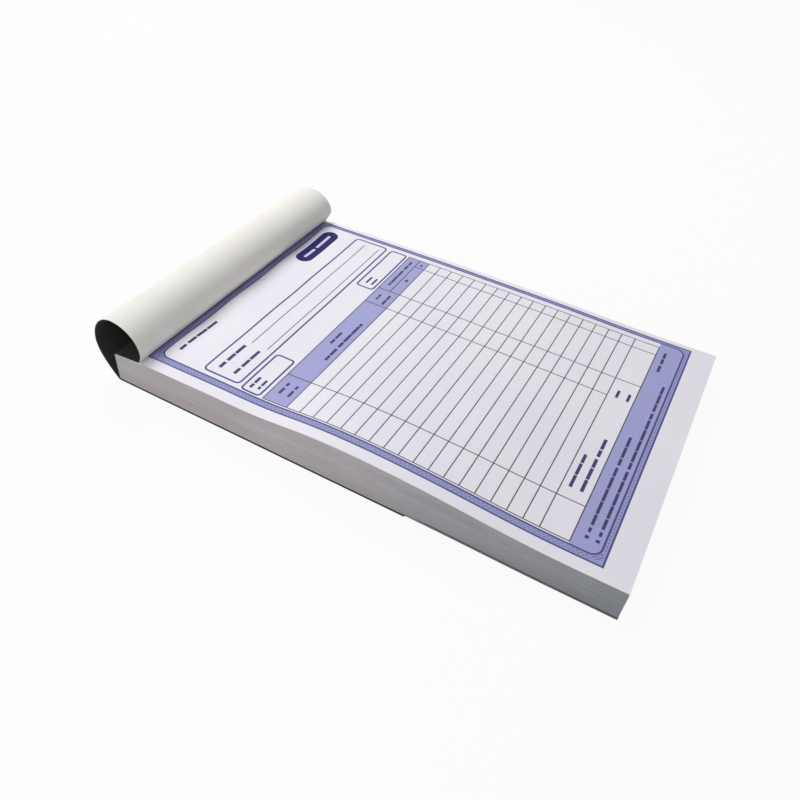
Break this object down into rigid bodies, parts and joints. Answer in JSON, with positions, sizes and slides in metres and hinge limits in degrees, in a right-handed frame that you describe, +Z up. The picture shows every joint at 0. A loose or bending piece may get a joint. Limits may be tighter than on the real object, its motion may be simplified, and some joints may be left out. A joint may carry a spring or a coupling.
{
  "type": "invoice book",
  "caption": "Stapled pad of printed form leaves in a wrap-around card cover whose front flap loops back over the head and tucks beneath the pad.",
  "frame": {"origin": "middle of the book's length and width, on the underside of the tucked flap that lies on the table", "axes": "+Y along the book's length to the bound head, +Z up off the table, +X across the page to the reader's right with the head away from the reader"},
  "size_m": [0.14, 0.2254, 0.0321],
  "materials": {
    "cover_card": "smooth black card",
    "cover_lining": "matt cream card, black on its outer face",
    "pad_paper": "uncoated white paper, cut edges",
    "form_paper": "uncoated white paper, ruled and printed in violet blue",
    "wire": "flattened galvanised wire"
  },
  "bodies": {
    "pad": {"cover_back": "cover_card", "cover_spine": "cover_card", "cover_head_strip": "cover_card", "top_set_stub": "pad_paper", "staple_near": "wire", "staple_far": "wire", "leaf_bundle_01": "pad_paper", "leaf_bundle_02": "pad_paper", "leaf_bundle_03": "pad_paper", "leaf_bundle_04": "pad_paper", "leaf_bundle_05": "pad_paper", "leaf_bundle_06": "pad_paper", "leaf_bundle_07": "pad_paper", "leaf_bundle_08": "pad_paper", "leaf_bundle_09": "pad_paper", "leaf_bundle_10": "pad_paper", "leaf_bundle_11": "pad_paper", "leaf_bundle_12": "pad_paper", "leaf_bundle_13": "pad_paper", "leaf_bundle_14": "pad_paper", "leaf_bundle_15": "pad_paper", "leaf_bundle_16": "pad_paper", "leaf_bundle_17": "pad_paper", "leaf_bundle_18": "pad_paper", "leaf_bundle_19": "pad_paper", "leaf_bundle_20": "pad_paper", "leaf_bundle_21": "pad_paper"},
    "bend_1": {"cover_bend_1": "cover_lining"},
    "bend_2": {"cover_bend_2": "cover_lining"},
    "bend_3": {"cover_bend_3": "cover_lining"},
    "flap": {"cover_flap": "cover_lining"},
    "triplicate": {"top_leaf_triplicate": "form_paper"},
    "duplicate": {"top_leaf_duplicate": "form_paper"},
    "original": {"top_leaf_original": "form_paper"}
  },
  "joints": [
    {"name": "cover_crease", "type": "hinge", "parent": "pad", "child": "bend_1", "pos_m": [0, 0.09345, 0.0157], "axis": [1, 0, 0], "range_deg": [-35.2, 0]},
    {"name": "cover_fold_1", "type": "hinge", "parent": "bend_1", "child": "bend_2", "pos_m": [0, 0.10311, 0.03171], "axis": [1, 0, 0], "range_deg": [0, 49]},
    {"name": "cover_fold_2", "type": "hinge", "parent": "bend_2", "child": "bend_3", "pos_m": [0, 0.1172, 0.01903], "axis": [1, 0, 0], "range_deg": [0, 60]},
    {"name": "cover_turn", "type": "hinge", "parent": "bend_3", "child": "flap", "pos_m": [0, 0.1082, 0.00017], "axis": [1, 0, 0], "range_deg": [0, 106.9]},
    {"name": "triplicate_lift", "type": "hinge", "parent": "pad", "child": "triplicate", "pos_m": [0, 0.09295, 0.0152], "axis": [-1, 0, 0], "range_deg": [0, 40]},
    {"name": "duplicate_lift", "type": "hinge", "parent": "triplicate", "child": "duplicate", "pos_m": [0, 0.09295, 0.01532], "axis": [-1, 0, 0], "range_deg": [0, 16]},
    {"name": "original_lift", "type": "hinge", "parent": "duplicate", "child": "original", "pos_m": [0, 0.09295, 0.01545], "axis": [-1, 0, 0], "range_deg": [0, 16]}
  ],
  "couplings": [
    {"joint": "cover_crease", "follows": "cover_turn", "ratio": -0.3274},
    {"joint": "cover_fold_1", "follows": "cover_turn", "ratio": 0.4546},
    {"joint": "cover_fold_2", "follows": "cover_turn", "ratio": 0.5557}
  ]
}
